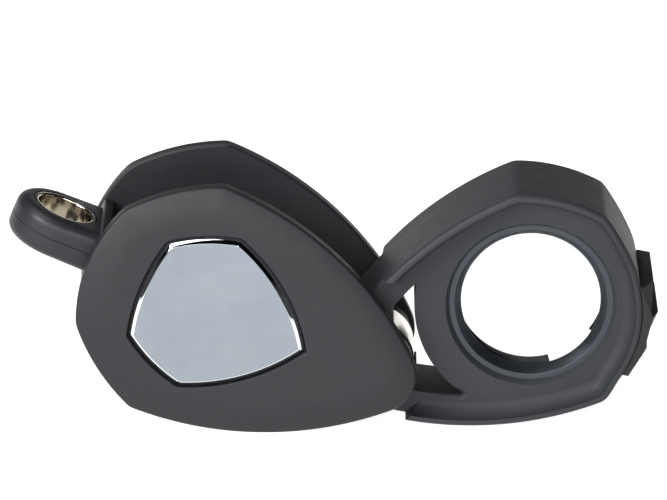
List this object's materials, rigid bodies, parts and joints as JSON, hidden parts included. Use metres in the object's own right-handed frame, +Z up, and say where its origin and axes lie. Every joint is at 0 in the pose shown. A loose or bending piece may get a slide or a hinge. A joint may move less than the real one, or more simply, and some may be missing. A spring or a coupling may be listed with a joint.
{
  "type": "folding_loupe",
  "caption": "Folding jeweler loupe: a lens holder with a cemented triplet swings out of a flat two-cover case with a lanyard loop",
  "frame": {"origin": "centre of the bounding box in X and Y, on the table in Z", "axes": "+X to the viewer's right, from the loop to the lens holder's free end; +Y away from the viewer; +Z up"},
  "size_m": [0.085, 0.0216, 0.034],
  "materials": {
    "cover": "fine matt texture",
    "loop": "satin",
    "holder": "satin",
    "grip": "satin, ribbed",
    "plate": "satin face, polished bevel",
    "adhesive": "thin sheet",
    "eyelet": "polished, slightly warm",
    "steel": "turned",
    "dark_steel": "blackened",
    "brass": "turned",
    "washer": "smooth",
    "bush": "turned",
    "cell": "satin",
    "stop": "dull black",
    "lens": "clear, polished"
  },
  "bodies": {
    "case": {"front_cover": "cover", "rear_cover": "cover", "end_block": "loop", "loop_eyelet": "eyelet", "eyelet_washer": "eyelet", "name_plate": "plate", "plate_adhesive": "adhesive", "pivot_pin": "steel", "pivot_screw": "dark_steel", "thrust_washer": "washer", "spring_washer": "steel", "case_screws": "dark_steel", "threaded_inserts": "brass"},
    "lens_holder": {"holder_frame": "holder", "thumb_grip": "grip", "pivot_bush": "bush", "lens_cell": "cell", "front_lens": "lens", "middle_lens": "lens", "rear_lens": "lens", "stop_ring": "stop", "retaining_ring": "stop"}
  },
  "joints": [
    {"name": "holder_swing", "type": "hinge", "parent": "case", "child": "lens_holder", "pos_m": [0.00553, 0.00015, 0.00797], "axis": [0, -1, 0], "range_deg": [-44.85, 135.15]}
  ]
}
